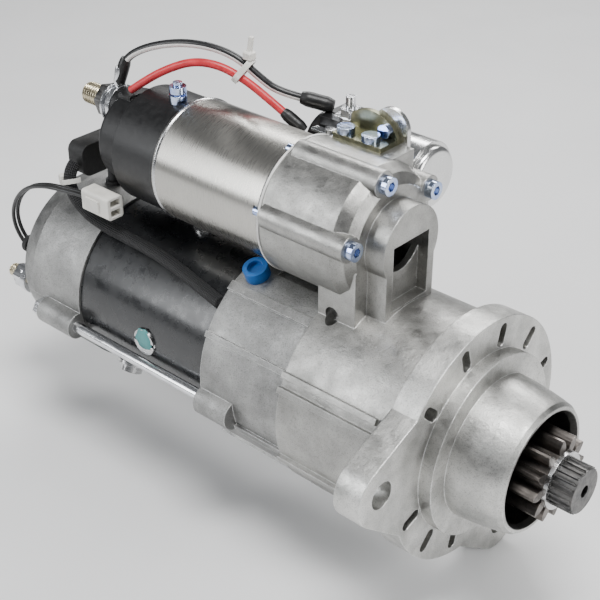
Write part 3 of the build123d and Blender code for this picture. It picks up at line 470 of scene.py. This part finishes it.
# ---- wires --------------------------------------------------------------------------
BLACK_ROUTE = ((-240.3, 2.5, 119), (-237.5, 4, 125.5), (-227, 7, 132.5), (-213, 11, 137.5),
               (-199, 15, 140), (-185, 19.5, 139.5), (-173, 23.5, 135.5),
               (-163, 27, 127.5), (-155, 31.5, 121), (-144, 37, 119))
RED_ROUTE = ((-224.5, -5, 113.8), (-216, -2.5, 120.5), (-206, 3, 127.5), (-193, 9.5, 133.5),
             (-180, 15.5, 133), (-168, 21, 127), (-157, 24.5, 120), (-147, 27, 113.5))
THERMO_ROUTE = ((-290, -36.5, 12), (-295.5, -37, 17), (-295.5, -39, 30), (-287, -41, 44),
                (-274, -42.5, 55), (-259, -43.6, 61.5), (-245, -42.7, 64), (-228.2, -37.8, 63))
LOOM_ROUTE = ((-250, -26.4, 71.6), (-250, -31, 68), (-246.5, -33, 58), (-240, -31, 48.8),
              (-229, -29.8, 44.4), (-214, -29.5, 43.2), (-198, -29.7, 43),
              (-182, -30.5, 42.6), (-167, -32, 41.5), (-151, -34.2, 39.6),
              (-131.2, -36.8, 37.3))


def woven(place, angle, r):
    """Slightly uneven round of the braided sleeve."""
    return r * (0.97 + 0.02 * sin(place * 420) + 0.01 * sin(angle * 3 + place * 90))


lead("black_lead", BLACK_ROUTE, 2.1, "black_wire", "black_wire", ("wire_black",))
lead("red_lead", RED_ROUTE, 2.1, "red_wire", "red_wire", ("wire_red",))
lead("thermostat_lead_1", THERMO_ROUTE, 1.1, "thin_wire", "black_wire", ("thermostat_leads",))
lead("thermostat_lead_2", [(x, y + 3.0, z) for x, y, z in THERMO_ROUTE], 1.1, "thin_wire",
     "black_wire")
lead("braided_loom", LOOM_ROUTE, 3.5, "loom", "braid", ("harness_loom",), woven)


def shrunk(name, start, way, length, r=3.2, stands_for=()):
    """Heat-shrink sleeve that necks down at both ends and shows what is under it."""
    start, way = Vector(start), Vector(way).normalized()

    def shape(place, angle, radius):
        t = place / (length * MM)
        neck = 1 - 0.22 * max(0, 1 - t * 5) - 0.25 * max(0, t * 5 - 4)
        wrinkle = 0.03 * noise.noise(Vector((t * 6, cos(angle), sin(angle))))
        return radius * (neck + wrinkle)
    points = [(start + way * length * i / 24) * MM for i in range(25)]
    verts, faces, uvs = tube(points, r * MM, 32, shape)
    return piece(name, verts, faces, "shrink", uvs=uvs, sharp=60, stands_for=stands_for,
                 slot="rubber")


def direction(a, b):
    return Vector(b) - Vector(a)


shrunk("shrink_lug", (-237.6, 4.1, 125.3), (-3.9, -3.6, -15.6), 16.6, 3.3,
       stands_for=("wire_sleeves",))
shrunk("shrink_black", BLACK_ROUTE[-1], direction(BLACK_ROUTE[-2], BLACK_ROUTE[-1]), 17, 3.9)
shrunk("shrink_red", RED_ROUTE[-1], direction(RED_ROUTE[-2], RED_ROUTE[-1]), 14)


# ---- cable ties ---------------------------------------------------------------------
def tie_band(centre, across, way, half_long, half_short, width, thick):
    """Band round a slot outline with fine cross ribs on its outer face."""
    across, way = Vector(across).normalized(), Vector(way).normalized()
    across = (across - way * way.dot(across)).normalized()
    up = way.cross(across)
    centre = Vector(centre) * MM
    straight = half_long - half_short
    verts, faces = [], []
    steps = 96
    for k in range(steps):
        a = tau * k / steps
        for depth, side in ((0, -1), (0, 1), (1, 1), (1, -1)):
            rib = 0.10 * (k % 2) if depth else 0.0
            r = half_short + (thick - 0.1 + rib if depth else 0)
            u = cos(a) * r + (straight if cos(a) > 0 else -straight)
            v = sin(a) * r
            verts.append(centre + (across * u + up * v + way * side * width / 2) * MM)
    for k in range(steps):
        n = (k + 1) % steps
        for j in range(4):
            m = (j + 1) % 4
            faces.append((k * 4 + j, n * 4 + j, n * 4 + m, k * 4 + m))
    return verts, faces


def slab(low, high, bevel=0.5, lean=(0, 0)):
    """Block with chamfered vertical edges, leaning by (x, y) over its height."""
    (x0, y0, z0), (x1, y1, z1) = low, high
    outline = [(x0 + bevel, y0), (x1 - bevel, y0), (x1, y0 + bevel), (x1, y1 - bevel),
               (x1 - bevel, y1), (x0 + bevel, y1), (x0, y1 - bevel), (x0, y0 + bevel)]
    verts = []
    levels = ((z0, bevel), (z0 + bevel, 0), (z1 - bevel, 0), (z1, bevel))
    cx, cy = (x0 + x1) / 2, (y0 + y1) / 2
    for z, inset in levels:
        t = (z - z0) / (z1 - z0)
        kx = 1 - 2 * inset / (x1 - x0)
        ky = 1 - 2 * inset / (y1 - y0)
        verts += [Vector((cx + (x - cx) * kx + lean[0] * t, cy + (y - cy) * ky + lean[1] * t, z)) * MM
                  for x, y in outline]
    faces = [tuple(reversed(range(8))), tuple(range(24, 32))]
    for i in range(3):
        for k in range(8):
            n = (k + 1) % 8
            faces.append((i * 8 + k, i * 8 + n, (i + 1) * 8 + n, (i + 1) * 8 + k))
    return verts, faces


wires_way = direction(BLACK_ROUTE[6], BLACK_ROUTE[7])
wires_across = direction(RED_ROUTE[5], BLACK_ROUTE[6]) + Vector((6.6, 1.7, -4.1))
piece("wire_tie", *join(tie_band((-169.8, 22.5, 130.7), wires_across, wires_way, 6.7, 3.2, 3.0, 1.0),
                        slab((-171, 22.6, 136.0), (-165.4, 27.8, 140.6), 0.7),
                        slab((-169.4, 24.2, 139.8), (-166.6, 26.0, 148.3), 0.3, (1.0, 0.6))),
      "white_plastic", stands_for=("cable_ties",), slot="white_plastic")
piece("loom_tie", *join(tie_band((-248.3, -31.9, 63.4), (1, 0, 0), (1.1, -0.6, -3.0), 4.9, 4.7, 2.6, 0.9),
                        slab((-256.6, -33.6, 61.3), (-252.6, -29.8, 65.6), 0.6)),
      "white_plastic", slot="white_plastic")

# ---- terminals, nuts and studs ------------------------------------------------------
UPPER = Vector((0, 0, 100.2)) * MM
LOWER = Vector((0, 0, 72.2)) * MM
BACK = (-1, 0, 0)
piece("battery_stud_thread", *join(thread(0.236, 0.266, 0.006, 0.00175, UPPER, BACK, point=0.0014),
                                   thread(0.236, 0.256, 0.006, 0.00175, LOWER, BACK, point=0.0014)),
      "brass", sharp=50, stands_for=("terminal_studs",), slot="copper")


def washer(x0, x1, r, bore, origin):
    edge = 0.0003
    return ring([(x0, bore), (x0, r - edge), (x0 + edge, r), (x1 - edge, r), (x1, r - edge),
                 (x1, bore)], origin, BACK)


piece("terminal_nut_set", *join(hex_nut(0.2446, 0.2516, 0.0095, UPPER, BACK, 0.3),
                                hex_nut(0.2460, 0.2530, 0.0095, LOWER, BACK)),
      "dark_steel", stands_for=("terminal_nuts",), slot="zinc")
piece("terminal_washers", *join(washer(0.2430, 0.2446, 0.011, 0.0058, UPPER),
                                washer(0.2372, 0.2402, 0.011, 0.0058, UPPER),
                                washer(0.2403, 0.2429, 0.0095, 0.0058, UPPER),
                                turned([(0, 0.0022), (0.004, 0.0025), (0.0105, 0.0025),
                                        (0.0125, 0.0021)], (-0.2414, 0, 0.1085), (0.12, 0.1, 1), 32)),
      "zinc", slot="zinc")
GROUND = Vector((0, -36, -11)) * MM
piece("ground_stud", *thread(0.2815, 0.306, 0.004, 0.00125, GROUND, BACK, point=0.001), "brass",
      sharp=50, stands_for=("ground_terminal",), slot="zinc")
piece("ground_nut", *join(hex_nut(0.2905, 0.2980, 0.0075, GROUND, BACK, 0.2),
                          washer(0.2862, 0.2905, 0.0080, 0.0038, GROUND)), "zinc", slot="zinc")

# ---- rolled edges and marking paint ---------------------------------------------------
def around(x0, x1, r, y, z, look, name, bulge=0.0008, slot=None):
    """Rolled bead round a can, at radius r about a line parallel to X."""
    steps = 12
    section = [(x0, r - bulge)] + [(x0 + (x1 - x0) * i / steps,
                                    r + bulge * sin(pi * i / steps)) for i in range(steps + 1)]
    section.append((x1, r - bulge))
    return piece(name, *ring(section, (0, y, z), (1, 0, 0), 96), look, sharp=40, slot=slot)


SOL_Z, RELAY_AT = 0.0862, (0.0465, 0.096)
around(-0.1105, -0.1082, 0.0321, 0, SOL_Z, "steel", "can_front_bead", 0.0005, "steel")
around(-0.1818, -0.1795, 0.0320, 0, SOL_Z, "steel", "can_rear_crimp", 0.0006, "steel")
around(-0.0996, -0.0972, 0.0155, *RELAY_AT, "relay_can", "relay_can_crimp", 0.0006,
       "bright_aluminium")


def dab(name, angle, x, r, size):
    """Irregular smear of marking paint on a screw in the motor frame."""
    a = radians(angle)
    out = Vector((0, cos(a), sin(a)))
    side = Vector((0, -sin(a), cos(a)))
    centre = Vector((x, 0, 0)) + out * r
    verts, faces = [centre + out * 0.0006], []
    count = 28
    for level, (share, lift) in enumerate(((0.55, 0.0005), (0.9, 0.0003), (1.0, -0.0003))):
        for k in range(count):
            t = tau * k / count
            wobble = 1 + 0.28 * noise.noise(Vector((cos(t) * 1.7, sin(t) * 1.7, angle)))
            reach = size * share * wobble
            verts.append(centre + Vector((cos(t) * reach, 0, 0)) + side * sin(t) * reach
                         + out * lift)
        for k in range(count):
            n = (k + 1) % count
            if level == 0:
                faces.append((0, 1 + k, 1 + n))
            else:
                low_row, high_row = 1 + (level - 1) * count, 1 + level * count
                faces.append((low_row + k, high_row + k, high_row + n, low_row + n))
    return piece(name, verts, faces, "teal_paint", sharp=60, slot="blue_plastic")


dab("pole_screw_paint", angle=178, x=-0.177, r=0.0492, size=0.0062)


# ---- camera, light and floor --------------------------------------------------------
low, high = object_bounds()
AZIMUTH, ELEVATION, DISTANCE = radians(41.914), radians(31.441), 0.646257
target = Vector((-0.111685, 0, 0.03018))
back = Vector((sin(AZIMUTH) * cos(ELEVATION), -cos(AZIMUTH) * cos(ELEVATION), sin(ELEVATION)))
camera = bpy.data.objects.new("camera", bpy.data.cameras.new("camera"))
camera.data.lens, camera.data.sensor_width = 76.95, 36
camera.data.clip_start, camera.data.clip_end = 0.01, 50
camera.location = target + back * DISTANCE
camera.rotation_mode = "QUATERNION"
camera.rotation_quaternion = (-back).to_track_quat("-Z", "Y")
bpy.context.scene.collection.objects.link(camera)
bpy.context.scene.camera = camera


def softbox(name, position, size, power, color=(1, 1, 1)):
    lamp = bpy.data.lights.new(name, "AREA")
    lamp.shape, lamp.size, lamp.size_y = "RECTANGLE", size[0], size[1]
    lamp.energy, lamp.color = power, color
    holder = bpy.data.objects.new(name, lamp)
    holder.location = position
    aim = (Vector((-0.11, 0, 0.02)) - Vector(position)).normalized()
    holder.rotation_mode = "QUATERNION"
    holder.rotation_quaternion = aim.to_track_quat("-Z", "Y")
    bpy.context.scene.collection.objects.link(holder)


softbox("key", (0.10, -0.15, 1.1), (0.55, 0.35), 15)
softbox("left", (-0.75, -0.9, 0.55), (0.35, 0.8), 8, (0.96, 0.98, 1.0))
softbox("right", (1.0, 0.1, 0.45), (0.3, 0.6), 8)
softbox("rim", (-0.55, 0.9, 0.8), (0.9, 0.25), 10)

world = bpy.data.worlds.new("studio")
bpy.context.scene.world = world
world.use_nodes = True
backdrop = world.node_tree.nodes["Background"]
backdrop.inputs["Color"].default_value = (0.80, 0.82, 0.85, 1)
backdrop.inputs["Strength"].default_value = 0.22

paper = Look("pale_floor")
paper.set(paper.ramp(paper.noise(6, 3), (0.3, 0.80), (0.7, 0.84)),
          paper.ramp(paper.noise(30, 3), (0.3, 0.55), (0.7, 0.7)),
          ((paper.noise(900, 2), 0.05, 0.0003),))
LOOKS["floor"] = paper
ground = low.z - 0.0005
slab_mesh = bpy.data.meshes.new("floor")
slab_mesh.from_pydata([(-6, -6, ground), (6, -6, ground), (6, 6, ground), (-6, 6, ground)], [],
                      [(0, 1, 2, 3)])
slab_mesh.materials.append(paper.mat)
floor_piece = bpy.data.objects.new("floor", slab_mesh)
bpy.context.scene.collection.objects.link(floor_piece)
